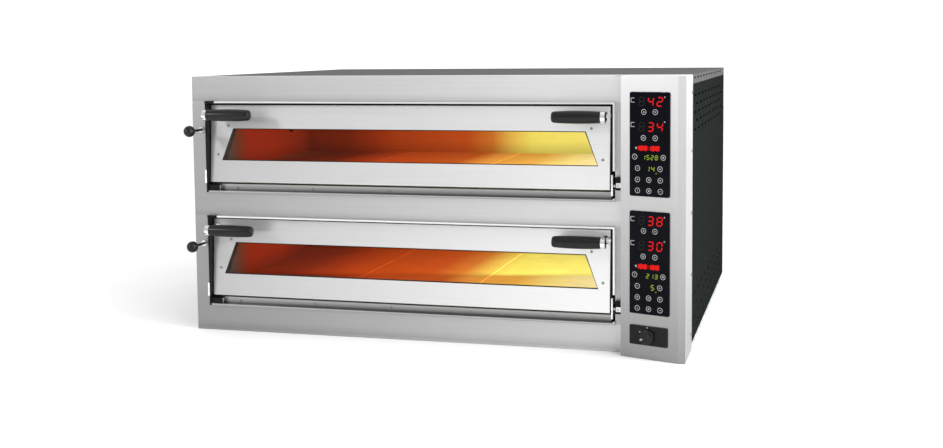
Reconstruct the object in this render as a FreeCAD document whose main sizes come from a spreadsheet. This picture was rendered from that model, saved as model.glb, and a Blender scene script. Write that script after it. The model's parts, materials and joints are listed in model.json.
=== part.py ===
import FreeCAD, Part
import math
import os
import Sketcher
from FreeCAD import Placement, Rotation, Vector

# Double-deck countertop pizza oven. Millimetres, +Z up. The origin is the centre of the
# space that the oven stands on: x runs to the right seen from the front, y to the back.

doc = FreeCAD.newDocument("deck_oven")
sheet = doc.addObject("Spreadsheet::Sheet", "Dims")


# ---- Driving dimensions -------------------------------------------------------------------

DRIVING = {
    # casing
    "casing_width": 1450, "front_width": 1273, "casing_height": 750, "casing_depth": 1200,
    "front_plane": -572.5, "frame_depth": 75, "sheet_metal": 2, "tray_height": 16,
    "cover_drop": 25, "compartment_wall": 1273,
    # control housing, a wedge that stands out in front of the fascia
    "wedge_near": 41.7, "wedge_far": 95, "wedge_strip": 20,
    "display_inset": 27.7, "display_width": 115, "display_height": 274, "display_bottom": 121,
    "display_pitch": 313, "glass_proud": 3,
    "plate_inset": 27.7, "plate_width": 110, "plate_bottom": 38, "plate_height": 52,
    "switch_along": 79.7, "switch_height": 61, "switch_radius": 20, "spindle_radius": 4,
    # decks; heights are of the lower deck, and the upper one is a pitch higher
    "deck_pitch": 336, "opening_left": 46, "opening_right": 1252, "opening_bottom": 75,
    "opening_top": 342, "rim_thick": 5, "rim_proud": 12,
    # chambers
    "chamber_left": 76.5, "chamber_right": 1206.5, "chamber_front": 50, "chamber_back": 700,
    "pan_bottom": 104, "slab_top": 142, "slab_thick": 15, "ceiling_height": 282,
    "element_radius": 4,
    # doors
    "door_left": 53.5, "door_right": 1241, "door_bottom": 105, "door_tall": 225, "door_lean": 15,
    "door_back": 45, "hinge_back": 8, "hinge_rise": 10.5, "shaft_radius": 5,
    "window_low": 63.5, "window_high": 157.5, "window_low_half": 557.5, "window_high_half": 522.5,
    "grip_rise": 199, "grip_out": 50, "grip_near": 441, "grip_far": 574, "ferrule_far": 586,
    # steam dampers
    "damper_left": 28.5, "damper_height": 258, "rod_radius": 3.5, "knob_radius": 16.5,
    "knob_out": 76, "duct_left": 8, "duct_right": 74, "duct_front": 440,
    "duct_bottom": 200, "duct_top": 280, "port_back": 540, "port_radius": 25,
    "spigot_radius": 30, "spigot_out": 40,
    # cooling fan
    "fan_height": 375, "fan_half": 60, "fan_depth": 38, "rotor_radius": 54,
    # cable entry
    "gland_height": 110, "gland_radius": 11,
}


class Size:
    """A length together with the sheet formula that gives it."""

    def __init__(self, value, text):
        self.value = value
        self.text = text

    def __add__(self, other):
        return join(self, "+", other)

    def __radd__(self, other):
        return join(other, "+", self)

    def __sub__(self, other):
        return join(self, "-", other)

    def __rsub__(self, other):
        return join(other, "-", self)

    def __mul__(self, other):
        return join(self, "*", other)

    def __rmul__(self, other):
        return join(other, "*", self)

    def __truediv__(self, other):
        return join(self, "/", other)

    def __neg__(self):
        return join(0, "-", self)


def size(thing):
    return thing if isinstance(thing, Size) else Size(float(thing), repr(float(thing)))


def join(first, sign, second):
    first = size(first)
    second = size(second)
    value = {
        "+": first.value + second.value,
        "-": first.value - second.value,
        "*": first.value * second.value,
        "/": first.value / second.value if second.value else 0.0,
    }[sign]
    return Size(value, f"({first.text} {sign} {second.text})")


def fill_sheet():
    sizes = {}
    for row, (name, value) in enumerate(DRIVING.items(), start=1):
        sheet.set(f"A{row}", name.replace("_", " "))
        sheet.set(f"B{row}", str(value))
        sheet.setAlias(f"B{row}", name)
        sizes[name] = Size(float(value), f"Dims.{name}")
    doc.recompute()
    return sizes


D = fill_sheet()
LEFT = -D["casing_width"] / 2
RIGHT = D["casing_width"] / 2
FRONT = D["front_plane"]
REAR = FRONT + D["casing_depth"]
TOP = D["casing_height"]
SHEET = D["sheet_metal"]
DECKS = (("lower", size(0)), ("upper", D["deck_pitch"]))
DOOR_MIDDLE = LEFT + (D["door_left"] + D["door_right"]) / 2
HINGE_Y = FRONT + D["hinge_back"]


def across(name):
    """The x of a dimension measured from the left side of the casing."""
    return LEFT + D[name]


def back(name):
    """The y of a dimension measured from the fascia towards the rear."""
    return FRONT + D[name]


# ---- Building blocks ----------------------------------------------------------------------

PARTS = []


def bind(thing, prop, value):
    thing.setExpression(prop, size(value).text)


def place(thing, x=0, y=0, z=0, turn=None):
    if turn is not None:
        thing.Placement = Placement(Vector(), turn)
    for axis, value in zip("xyz", (x, y, z)):
        bind(thing, f"Placement.Base.{axis}", value)
    return thing


def box(low, high):
    """A block between two opposite corners."""
    block = doc.addObject("Part::Box", "block")
    for prop, first, last in zip(("Length", "Width", "Height"), low, high):
        bind(block, prop, size(last) - first)
    return place(block, *low)


TURN_TO = {"x": Rotation(Vector(0, 1, 0), 90), "y": Rotation(Vector(1, 0, 0), -90), "z": Rotation()}


def rod(axis, centre, radius, length):
    """A round bar that starts at centre and runs along an axis."""
    bar = doc.addObject("Part::Cylinder", "rod")
    bind(bar, "Radius", radius)
    bind(bar, "Height", length)
    return place(bar, *centre, turn=TURN_TO[axis])


def fuse(*pieces):
    joined = doc.addObject("Part::MultiFuse", "joined")
    joined.Shapes = list(pieces)
    return joined


def group(*pieces):
    together = doc.addObject("Part::Compound", "together")
    together.Links = list(pieces)
    return together


def cut(base, *tools):
    result = doc.addObject("Part::Cut", "cut")
    result.Base = base
    result.Tool = tools[0] if len(tools) == 1 else group(*tools)
    return result


def part(name, thing):
    """Name a finished piece; its label is also the name of its file."""
    thing.Label = name
    PARTS.append(thing)
    return thing


def origin_plane(body, role):
    return next(item for item in body.Origin.OriginFeatures if item.Role == role)


def sketch_on(body, role, offset):
    sketch = body.newObject("Sketcher::SketchObject", "sketch")
    sketch.AttachmentSupport = [(origin_plane(body, role), "")]
    sketch.MapMode = "FlatFace"
    bind(sketch, "AttachmentOffset.Base.z", offset)
    return sketch


def outline(sketch, corners):
    """A closed run of straight lines, each corner held by its distances from the origin."""
    first = sketch.GeometryCount
    count = len(corners)
    points = [Vector(size(x).value, size(y).value, 0) for x, y in corners]
    for index in range(count):
        sketch.addGeometry(Part.LineSegment(points[index], points[(index + 1) % count]))
    for index in range(count):
        following = first + (index + 1) % count
        sketch.addConstraint(Sketcher.Constraint("Coincident", first + index, 2, following, 1))
    for index, corner in enumerate(corners):
        for kind, value in zip(("DistanceX", "DistanceY"), corner):
            value = size(value)
            held = Sketcher.Constraint(kind, -1, 1, first + index, 1, value.value)
            number = sketch.addConstraint(held)
            sketch.setExpression(f"Constraints[{number}]", value.text)


def circle(sketch, x, y, radius):
    x, y, radius = size(x), size(y), size(radius)
    middle = Vector(x.value, y.value, 0)
    index = sketch.addGeometry(Part.Circle(middle, Vector(0, 0, 1), radius.value))
    for kind, value in (("DistanceX", x), ("DistanceY", y)):
        number = sketch.addConstraint(Sketcher.Constraint(kind, -1, 1, index, 3, value.value))
        sketch.setExpression(f"Constraints[{number}]", value.text)
    number = sketch.addConstraint(Sketcher.Constraint("Radius", index, radius.value))
    sketch.setExpression(f"Constraints[{number}]", radius.text)


def rectangle(x0, y0, x1, y1):
    return [(x0, y0), (x1, y0), (x1, y1), (x0, y1)]


def add_pad(body, role, start, thick, loops, circles=()):
    """Extrude outlines from start to start + thick along the plane's axis.

    The XZ plane of a body faces -Y, so there the sketch lies at the far side.
    """
    offset = -(size(start) + thick) if role == "XZ_Plane" else size(start)
    sketch = sketch_on(body, role, offset)
    for loop in loops:
        outline(sketch, loop)
    for ring in circles:
        circle(sketch, *ring)
    pad = body.newObject("PartDesign::Pad", "pad")
    pad.Profile = sketch
    bind(pad, "Length", thick)
    return pad


def add_pocket(body, role, start, deep, loops):
    """Cut outlines from start to start + deep along the plane's axis, and test that it cut."""
    doc.recompute()
    before = body.Shape.Volume
    offset = -size(start) if role == "XZ_Plane" else size(start) + deep
    sketch = sketch_on(body, role, offset)
    for loop in loops:
        outline(sketch, loop)
    pocket = body.newObject("PartDesign::Pocket", "pocket")
    pocket.Profile = sketch
    bind(pocket, "Length", deep)
    doc.recompute()
    if body.Shape.Volume >= before:
        raise RuntimeError("a pocket cut nothing")
    return pocket


def new_body():
    return doc.addObject("PartDesign::Body", "body")


def plate(role, start, thick, loops, circles=()):
    body = new_body()
    add_pad(body, role, start, thick, loops, circles)
    return body


def turned(profile):
    """A solid of revolution about x; the profile is (x, radius) pairs from axis to axis."""
    body = new_body()
    sketch = sketch_on(body, "XY_Plane", 0)
    outline(sketch, profile)
    turn = body.newObject("PartDesign::Revolution", "turn")
    turn.Profile = sketch
    turn.ReferenceAxis = (sketch, ["H_Axis"])
    turn.Angle = 360
    return body


def round_edges(body, radius, direction):
    """Round the straight edges that run along one direction."""
    doc.recompute()
    base = body.Tip
    names = []
    for index, edge in enumerate(body.Shape.Edges, start=1):
        if isinstance(edge.Curve, Part.Line) and abs(edge.Curve.Direction.dot(direction)) > 0.999:
            names.append(f"Edge{index}")
    fillet = body.newObject("PartDesign::Fillet", "fillet")
    fillet.Base = (base, names)
    fillet.Radius = radius
    return body


# ---- Casing -------------------------------------------------------------------------------

def front_fascia():
    """Folded stainless front with two door openings, damper holes and deep side flanges."""
    body = new_body()
    end = LEFT + D["front_width"]
    openings = []
    holes = []
    for _, rise in DECKS:
        openings.append(rectangle(across("opening_left"), D["opening_bottom"] + rise,
                                  across("opening_right"), D["opening_top"] + rise))
        holes.append((across("damper_left"), D["damper_height"] + rise, D["rod_radius"] + 1))
    add_pad(body, "XZ_Plane", FRONT, SHEET, [rectangle(LEFT, 0, end, TOP)] + openings, holes)
    deep = D["frame_depth"] - SHEET
    add_pad(body, "XZ_Plane", FRONT + SHEET, deep, [
        [(LEFT, 0), (end, 0), (end, SHEET), (LEFT + SHEET, SHEET),
         (LEFT + SHEET, TOP - SHEET), (end, TOP - SHEET), (end, TOP), (LEFT, TOP)]])
    return part("front_fascia", body)


WEDGE_LEFT = LEFT + D["front_width"]
WEDGE_RIGHT = RIGHT - D["wedge_strip"]
WEDGE_NEAR = FRONT - D["wedge_near"]
WEDGE_FAR = FRONT - D["wedge_far"]
WEDGE_TURN = -math.degrees(math.atan2(WEDGE_NEAR.value - WEDGE_FAR.value,
                                      WEDGE_RIGHT.value - WEDGE_LEFT.value))


def on_wedge(thing):
    """Move a piece made in the wedge's own frame: x along the face, -y out of it, z up."""
    return place(thing, WEDGE_LEFT, WEDGE_NEAR, 0, turn=Rotation(Vector(0, 0, 1), WEDGE_TURN))


def display_bottoms():
    return [(deck, D["display_bottom"] + D["display_pitch"] * number)
            for number, (deck, _) in enumerate(DECKS)]


def control_housing():
    """Folded wedge around the control compartment, with openings behind the displays."""
    body = new_body()
    side = back("frame_depth")
    # Inside corners of the two bends, a sheet's thickness behind the outside ones.
    far_bend = (WEDGE_RIGHT + SHEET / 6, WEDGE_FAR + SHEET)
    near_bend = (WEDGE_LEFT + SHEET, WEDGE_NEAR + SHEET * 0.7)
    add_pad(body, "XY_Plane", SHEET, TOP - SHEET * 2, [[
        (WEDGE_LEFT, FRONT), (WEDGE_LEFT, WEDGE_NEAR), (WEDGE_RIGHT, WEDGE_FAR),
        (RIGHT, WEDGE_FAR), (RIGHT, side), (RIGHT - SHEET, side),
        (RIGHT - SHEET, WEDGE_FAR + SHEET), far_bend, near_bend, (WEDGE_LEFT + SHEET, FRONT)]])
    cover = [(WEDGE_LEFT, side), (WEDGE_LEFT, WEDGE_NEAR), (WEDGE_RIGHT, WEDGE_FAR),
             (RIGHT, WEDGE_FAR), (RIGHT, side)]
    add_pad(body, "XY_Plane", 0, SHEET, [cover])
    add_pad(body, "XY_Plane", TOP - SHEET, SHEET, [cover])
    lip = 7
    tools = []
    for _, low in display_bottoms():
        tools.append(box((D["display_inset"] + lip, -8, low + lip),
                         (D["display_inset"] + D["display_width"] - lip, 8,
                          low + D["display_height"] - lip)))
    tools.append(rod("y", (D["switch_along"], -8, D["switch_height"]), D["spindle_radius"] + 2, 16))
    return part("control_housing", cut(body, on_wedge(group(*tools))))


def door_surround(deck, rise):
    """Rim that lines the door opening and stands out of the fascia; open at the hinge arm."""
    left, right = across("opening_left"), across("opening_right")
    low, high = D["opening_bottom"] + rise, D["opening_top"] + rise
    rim = D["rim_thick"]
    body = plate("XZ_Plane", FRONT - D["rim_proud"], D["rim_proud"] + 20, [
        rectangle(left, low, right, high),
        rectangle(left + rim, low + rim, right - rim, high - rim)])
    pivot = D["door_bottom"] + D["hinge_rise"] + rise
    notch = box((right - rim * 2, FRONT - 30, pivot - 32), (right, FRONT + 30, pivot + 42))
    shaft_way = rod("x", (left - 5, HINGE_Y, pivot), D["shaft_radius"] + 1, 15)
    return part(f"{deck}_door_surround", cut(body, notch, shaft_way))


def sill_strip(deck, rise):
    """Drip ledge under the door, screwed to the surround, with a black stop block at its left."""
    left, right = across("opening_left") + D["rim_thick"], across("opening_right") - 12
    low = D["opening_bottom"] + D["rim_thick"] + rise
    body = plate("YZ_Plane", left, right - left, [[
        (FRONT + 6, low), (FRONT + 46, low), (FRONT + 46, low + 2), (FRONT + 8, low + 2),
        (FRONT + 8, low + 19), (FRONT + 6, low + 19)]])
    screws = [rod("y", (left + 85 + 235 * number, FRONT + 3, low + 8), 3.2, 3)
              for number in range(5)]
    stop = box((left + 1, FRONT - 8, low), (left + 38, FRONT + 6, low + 17))
    return part(f"{deck}_sill_strip", fuse(body, stop, *screws))


def base_tray():
    """Shallow tray under the casing, folded up at the sides, with holes for a stand."""
    side_y = back("frame_depth")
    floor = plate("XY_Plane", 0, SHEET,
                  [rectangle(LEFT + SHEET, side_y, RIGHT - SHEET, REAR)],
                  [(sign_x * D["casing_width"] / 2 - sign_x * 60, y, 4.5)
                   for sign_x in (-1, 1) for y in (side_y + 60, REAR - 60)])
    walls = [box((LEFT, side_y, 0), (LEFT + SHEET, REAR, D["tray_height"])),
             box((RIGHT - SHEET, side_y, 0), (RIGHT, REAR, D["tray_height"])),
             box((LEFT + SHEET, REAR - SHEET, SHEET), (RIGHT - SHEET, REAR, D["tray_height"]))]
    slots = []
    pitch = 88
    for number in range(11):
        start = side_y + 50 + pitch * number
        for x in (LEFT, RIGHT - SHEET):
            slots.append(box((x - 1, start, 6), (x + SHEET + 1, start + 45, 11)))
    return part("base_tray", cut(group(floor, *walls), *slots))


def top_cover():
    """Lid with folded edges and a row of vent slots in each side fold."""
    side_y = back("frame_depth")
    low = TOP - D["cover_drop"]
    profile = [(LEFT, low), (LEFT + SHEET, low), (LEFT + SHEET, TOP - SHEET),
               (RIGHT - SHEET, TOP - SHEET), (RIGHT - SHEET, low), (RIGHT, low),
               (RIGHT, TOP), (LEFT, TOP)]
    body = plate("XZ_Plane", side_y, REAR - side_y, [profile])
    slots = []
    for number in range(11):
        start = side_y + 40 + 90 * number
        for x in (LEFT, RIGHT - SHEET):
            slots.append(box((x - 1, start, low + 13), (x + SHEET + 1, start + 46, low + 18)))
    return part("top_cover", cut(body, *slots))


def side_panel(name, x):
    """Louvred painted side: five staggered rows of slots near the top, four near the bottom."""
    side_y = back("frame_depth")
    low, high = D["tray_height"], TOP - D["cover_drop"]
    sheet_body = plate("YZ_Plane", x, SHEET, [rectangle(side_y, low, REAR, high)])
    slots = []
    rows = [597, 621, 645, 668, 692, 44, 76, 108, 140]
    for number, height in enumerate(rows):
        stagger = 50 * (number % 2)
        for place_in_row in range(9):
            start = side_y + 50 + stagger + 108 * place_in_row
            slots.append(box((x - 1, start, height - 3),
                             (x + SHEET + 1, start + 54, height + 3)))
    return part(name, cut(sheet_body, *slots))


def rear_panel():
    """Back of the casing with holes for the flue spigots, the gland and the fan's air."""
    holes = [(across("duct_left") + (D["duct_right"] - D["duct_left"]) / 2,
              (D["duct_bottom"] + D["duct_top"]) / 2 + rise, D["spigot_radius"] + 0.5)
             for _, rise in DECKS]
    holes.append((fan_x(), D["gland_height"], D["gland_radius"] + 2))
    body = plate("XZ_Plane", REAR - SHEET, SHEET,
                 [rectangle(LEFT + SHEET, D["tray_height"], RIGHT - SHEET, TOP - SHEET)], holes)
    slots = []
    for number in range(8):
        height = D["fan_height"] - 45 + 13 * number
        slots.append(box((fan_x() - 46, REAR - SHEET - 1, height - 3.5),
                         (fan_x() + 46, REAR + 1, height + 3.5)))
    return part("rear_panel", cut(body, *slots))


def frame_posts():
    """Four angle posts that tie the tray to the cover."""
    low, high = SHEET, TOP - SHEET
    posts = []
    for x, y in ((LEFT + 4, FRONT + 60), (LEFT + 1240, FRONT + 60),
                 (LEFT + 100, REAR - 34), (LEFT + 1180, REAR - 34)):
        posts.append(plate("XY_Plane", low, high - low, [[
            (x, y), (x + 18, y), (x + 18, y + 3), (x + 3, y + 3), (x + 3, y + 24), (x, y + 24)]]))
    return part("frame_posts", group(*posts))


def compartment_wall():
    """Sheet wall between the hot decks and the control compartment."""
    x = across("compartment_wall")
    return part("compartment_wall", plate("YZ_Plane", x, SHEET, [
        rectangle(FRONT + SHEET, SHEET, REAR - SHEET, TOP - SHEET)]))


# ---- Baking chambers ----------------------------------------------------------------------

def chamber_liner(deck, rise):
    """Welded steel chamber, open at the front, with mouth flanges, slab ledges and a steam port."""
    left, right = across("chamber_left"), across("chamber_right")
    front, rear = back("chamber_front"), back("chamber_back")
    low, high = D["pan_bottom"] + rise, D["ceiling_height"] + rise
    mouth = front - SHEET
    edge_left = across("opening_left") + D["rim_thick"]
    edge_right = across("opening_right") - D["rim_thick"]
    edge_top = D["opening_top"] - D["rim_thick"] + rise
    ledge = D["slab_top"] - D["slab_thick"] + rise
    port = rod("x", (left - 10, back("port_back"), (D["duct_bottom"] + D["duct_top"]) / 2 + rise),
               D["port_radius"], 20)
    plates = [
        box((left - SHEET, front, low - SHEET), (right + SHEET, rear, low)),
        box((left - SHEET, front, high), (right + SHEET, rear, high + SHEET)),
        cut(box((left - SHEET, front, low), (left, rear, high)), port),
        box((right, front, low), (right + SHEET, rear, high)),
        box((left - SHEET, rear, low - SHEET), (right + SHEET, rear + SHEET, high + SHEET)),
        box((edge_left, mouth, low), (left, front, high)),
        box((right, mouth, low), (edge_right, front, high)),
        box((edge_left, mouth, high), (edge_right, front, edge_top)),
        box((left, mouth, low), (right, front, ledge)),
        box((left, front, ledge - 3), (left + 16, rear, ledge)),
        box((right - 16, front, ledge - 3), (right, rear, ledge)),
    ]
    return part(f"{deck}_chamber_liner", group(*plates))


def stone_slabs(deck, rise):
    """Three refractory slabs side by side, a hair apart."""
    left, right = across("chamber_left"), across("chamber_right")
    gap = 2
    wide = (right - left - gap * 4) / 3
    high = D["slab_top"] + rise
    slabs = []
    for number in range(3):
        start = left + gap + (wide + gap) * number
        slabs.append(box((start, back("chamber_front") + 2, high - D["slab_thick"]),
                         (start + wide, back("chamber_back") - 2, high)))
    return part(f"{deck}_stone_slabs", group(*slabs))


def heating_elements(deck, rise):
    """Straight sheathed rods that cross the chamber below the slabs and under the ceiling."""
    left, right = across("chamber_left"), across("chamber_right")
    rods = []
    for height in (D["pan_bottom"] + 11 + rise, D["ceiling_height"] - 12 + rise):
        for number in range(5):
            y = back("chamber_front") + 90 + 115 * number
            rods.append(rod("x", (left, y, height), D["element_radius"], right - left))
    return part(f"{deck}_heating_elements", group(*rods))


def insulation_decks():
    """Mineral wool below, between and above the chambers."""
    left, right = LEFT + 31, LEFT + 1238
    front, rear = back("chamber_front") + 2, back("chamber_back") + 40
    low, high = D["pan_bottom"] - SHEET, D["ceiling_height"] + SHEET
    pitch = D["deck_pitch"]
    return part("insulation_decks", group(
        box((left, front, 20), (right, rear, low - 1)),
        box((left, front, high + 1), (right, rear, low + pitch - 1)),
        box((left, front, high + pitch + 1), (right, rear, TOP - 30))))


def insulation_walls():
    """Mineral wool beside and behind each chamber, clear of the damper rods and ducts."""
    left, right = across("chamber_left") - SHEET, across("chamber_right") + SHEET
    front, rear = back("chamber_front") + 2, back("chamber_back") + SHEET
    blocks = []
    for _, rise in DECKS:
        low, high = D["pan_bottom"] + rise, D["ceiling_height"] + rise
        blocks.append(box((LEFT + 41, front, low), (left - 0.5, back("duct_front") - 2, high)))
        blocks.append(box((right + 0.5, front, low), (LEFT + 1238, rear, high)))
        blocks.append(box((left, rear + 0.5, low), (right, rear + 38, high)))
    return part("insulation_walls", group(*blocks))


def chamber_lamps():
    """Round lens and socket can in the right wall of each chamber."""
    inner = across("chamber_right")
    lamps = []
    for _, rise in DECKS:
        y, height = back("chamber_back") - 120, D["slab_top"] + 85 + rise
        lamps.append(rod("x", (inner - 6, y, height), 30, 6))
    return part("chamber_lamps", group(*lamps))


def thermocouple_probes():
    """Sheathed probe through the back of each chamber, under its ceiling."""
    probes = []
    for _, rise in DECKS:
        height = D["ceiling_height"] - 30 + rise
        probes.append(rod("y", (DOOR_MIDDLE, back("chamber_back") - 60, height), 3, 60))
    return part("thermocouple_probes", group(*probes))


# ---- Steam dampers ------------------------------------------------------------------------

def flue_duct(deck, rise):
    """Box duct beside the chamber that ends in a round spigot behind the casing."""
    left, right = across("duct_left"), across("duct_right")
    front, rear = back("duct_front"), REAR - 12
    low, high = D["duct_bottom"] + rise, D["duct_top"] + rise
    middle, height = (left + right) / 2, (low + high) / 2
    guide = rod("y", (across("damper_left"), front - 5, D["damper_height"] + rise),
                D["rod_radius"] + 0.8, 20)
    neck = rod("y", (middle, rear - SHEET, height), D["spigot_radius"] - 0.8, REAR - rear + SHEET)
    spigot = rod("y", (middle, REAR, height), D["spigot_radius"], D["spigot_out"])
    bore = rod("y", (middle, rear - 10, height), D["spigot_radius"] - SHEET, 100)
    end = box((left, rear - SHEET, low), (right, rear, high))
    plates = [
        box((left, front, low), (left + SHEET, rear - SHEET, high)),
        box((left + SHEET, front, low), (right, rear - SHEET, low + SHEET)),
        box((left + SHEET, front, high - SHEET), (right, rear - SHEET, high)),
        cut(box((left + SHEET, front, low + SHEET), (right, front + SHEET, high - SHEET)), guide),
        box((right - SHEET, back("chamber_back") + SHEET, low + SHEET),
            (right, rear - SHEET, high - SHEET)),
        cut(fuse(end, neck, spigot), bore),
    ]
    return part(f"{deck}_flue_duct", group(*plates))


def damper_bushes():
    """Flanged bushes that guide the rods through the fascia."""
    bushes = []
    for _, rise in DECKS:
        x, height = across("damper_left"), D["damper_height"] + rise
        flange = rod("y", (x, FRONT - 5, height), 9, 5)
        sleeve = rod("y", (x, FRONT - 5, height), D["rod_radius"] + 1, 14)
        bore = rod("y", (x, FRONT - 10, height), D["rod_radius"] + 0.06, 40)
        bushes.append(cut(fuse(flange, sleeve), bore))
    return part("damper_bushes", group(*bushes))


def damper_rod(deck, rise):
    """Pull rod with the gate that covers the steam port."""
    x, height = across("damper_left"), D["damper_height"] + rise
    start = FRONT - D["knob_out"]
    port_y = back("port_back")
    bar = rod("y", (x, start, height), D["rod_radius"], port_y - start)
    middle = (D["duct_bottom"] + D["duct_top"]) / 2 + rise
    gate_x = across("duct_right") - 2.4
    gate = box((gate_x, port_y - 29, middle - 30), (gate_x + 1.9, port_y + 29, middle + 30))
    arm = box((x, port_y - 8, height - 3), (gate_x + 1, port_y, height + 3))
    return part(f"{deck}_damper_rod", fuse(bar, gate, arm))


def damper_knob(deck, rise):
    """Ball knob with a short collar, bored for the rod."""
    ball = doc.addObject("Part::Sphere", "ball")
    bind(ball, "Radius", D["knob_radius"])
    x, height = across("damper_left"), D["damper_height"] + rise
    centre = FRONT - D["knob_out"]
    place(ball, x, centre, height)
    collar = rod("y", (x, centre, height), 8, 24)
    bore = rod("y", (x, centre, height), D["rod_radius"], 40)
    return part(f"{deck}_damper_knob", cut(fuse(ball, collar), bore))


# ---- Doors --------------------------------------------------------------------------------

def window_outline(low, grow):
    """The window is wider at its bottom; grow moves every side outwards."""
    slope = (D["window_low_half"] - D["window_high_half"]) / (D["window_high"] - D["window_low"])
    near = D["window_low_half"] + grow * (1 + slope)
    far = D["window_high_half"] + grow * (1 - slope)
    bottom = low + D["window_low"] - grow
    high = low + D["window_high"] + grow
    return [(DOOR_MIDDLE - near, bottom), (DOOR_MIDDLE + near, bottom),
            (DOOR_MIDDLE + far, high), (DOOR_MIDDLE - far, high)]


def door_panel(deck, rise):
    """Outer skin: a tray whose face leans back towards the top, with the window cut out."""
    low = D["door_bottom"] + rise
    high = low + D["door_tall"]
    left, wide = across("door_left"), D["door_right"] - D["door_left"]
    rear = back("door_back") - 4
    body = plate("YZ_Plane", left, wide,
                 [[(FRONT, low), (rear, low), (rear, high), (FRONT + D["door_lean"], high)]])
    slope = D["door_lean"] / D["door_tall"]
    add_pocket(body, "YZ_Plane", left + SHEET, wide - SHEET * 2, [[
        (FRONT + SHEET + slope * SHEET, low + SHEET), (rear + 5, low + SHEET),
        (rear + 5, high - SHEET), (FRONT + D["door_lean"] + SHEET - slope * SHEET, high - SHEET)]])
    add_pocket(body, "XZ_Plane", FRONT - 20, 45, [window_outline(low, 0)])
    shaft_way = rod("x", (left - 5, HINGE_Y, hinge_height(rise)), D["shaft_radius"] + 0.02, wide + 10)
    return part(f"{deck}_door_panel", cut(body, shaft_way))


def hinge_height(rise):
    return D["door_bottom"] + D["hinge_rise"] + rise


def door_liner(deck, rise):
    """Inner sheet that closes the back of the door around the window."""
    low = D["door_bottom"] + rise
    rear = back("door_back")
    body = plate("XZ_Plane", rear - 4, 4, [
        rectangle(across("door_left"), low, across("door_right"), low + D["door_tall"]),
        window_outline(low, 4)])
    return part(f"{deck}_door_liner", body)


def door_window_frame(deck, rise):
    """Channel that lines the window between the skin and the liner and holds the glass."""
    low = D["door_bottom"] + rise
    start = FRONT + 16
    rear = back("door_back") - 4
    return part(f"{deck}_door_window_frame", plate("XZ_Plane", start, rear - start, [
        window_outline(low, 10), window_outline(low, 4)]))


def door_glass(deck, rise):
    """Heat-proof pane inside the channel, pressed against the liner by the channel."""
    low = D["door_bottom"] + rise
    rear = back("door_back")
    return part(f"{deck}_door_glass", plate("XZ_Plane", rear - 12, 5, [window_outline(low, 4)]))


def door_shaft(deck, rise):
    """Hinge shaft with the bright arm that carries the door at its right end."""
    height = hinge_height(rise)
    left, right = across("door_left"), across("door_right")
    bar = rod("x", (left - 18, HINGE_Y, height), D["shaft_radius"], right - left + 38)
    arm = plate("YZ_Plane", right + 0.5, 4.5, [[
        (HINGE_Y - 14, height - 25), (HINGE_Y + 7, height - 25),
        (HINGE_Y + 7, height + 30), (HINGE_Y - 14, height + 30)]])
    return part(f"{deck}_door_shaft", fuse(bar, arm))


def grip_height(rise):
    return D["door_bottom"] + D["grip_rise"] + rise


def door_grips(deck, rise):
    """Two barrel grips, each held at its outer end, with a rounded free end."""
    length = D["grip_far"] - D["grip_near"]
    grips = []
    for side in (-1, 1):
        grip = turned([(0, 0), (0, 10.5), (2.5, 13.5), (8, 15.5), (length / 2, 17.5),
                       (length, 15.5), (length, 0)])
        turn = Rotation(Vector(0, 0, 1), 0 if side > 0 else 180)
        grips.append(place(grip, DOOR_MIDDLE + D["grip_near"] * side, FRONT - D["grip_out"],
                           grip_height(rise), turn=turn))
    return part(f"{deck}_door_grips", group(*grips))


def door_handle_stems(deck, rise):
    """Chrome ferrule, stem and rosette that hold each grip off the leaning door."""
    height = grip_height(rise)
    face = FRONT + D["door_lean"] * D["grip_rise"] / D["door_tall"]
    lean = math.degrees(math.atan2(D["door_lean"].value, D["door_tall"].value))
    ferrule_wide = D["ferrule_far"] - D["grip_far"]
    thick = 5
    seat = face - thick - 0.02
    stems = []
    for side in (-1, 1):
        start = DOOR_MIDDLE + (D["grip_far"] if side > 0 else -D["ferrule_far"])
        middle = start + ferrule_wide / 2
        ferrule = rod("x", (start, FRONT - D["grip_out"], height), 15.5, ferrule_wide)
        stem = rod("y", (middle, FRONT - D["grip_out"], height), 5,
                   face - FRONT + D["grip_out"] - 2)
        rosette = place(rod("y", (0, 0, 0), 12, thick), middle, seat, height,
                        turn=Rotation(Vector(1, 0, 0), -90 - lean))
        stems.append(fuse(ferrule, stem, rosette))
    return part(f"{deck}_door_handle_stems", group(*stems))


def door_screws(deck, rise):
    """Small countersunk screws beside the window."""
    slope = D["door_lean"] / D["door_tall"]
    screws = []
    for side in (-1, 1):
        for half, height in ((570, 81), (538, 165)):
            screws.append(rod("y", (DOOR_MIDDLE + half * side, FRONT + slope * height - 2.5,
                                    D["door_bottom"] + height + rise), 4, 2))
    return part(f"{deck}_door_screws", group(*screws))


def hinge_brackets():
    """Black clamp blocks on the fascia at the right, and bearing blocks behind it on both sides."""
    brackets = []
    for _, rise in DECKS:
        height = hinge_height(rise)
        start = across("opening_right") + 2
        outer = box((start + 0.5, FRONT - 16, height - 9), (start + 18.5, FRONT, height + 26))
        inner = box((start, FRONT + SHEET, height - 12), (start + 16, FRONT + 20, height + 12))
        end = across("opening_left") - 1
        far = box((end - 14, FRONT + SHEET, height - 12), (end, FRONT + 20, height + 12))
        bores = [rod("x", (x, HINGE_Y, height), D["shaft_radius"] + 0.06, 40)
                 for x in (start - 5, end - 20)]
        brackets += [outer, cut(inner, bores[0]), cut(far, bores[1])]
    return part("hinge_brackets", group(*brackets))


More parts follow.
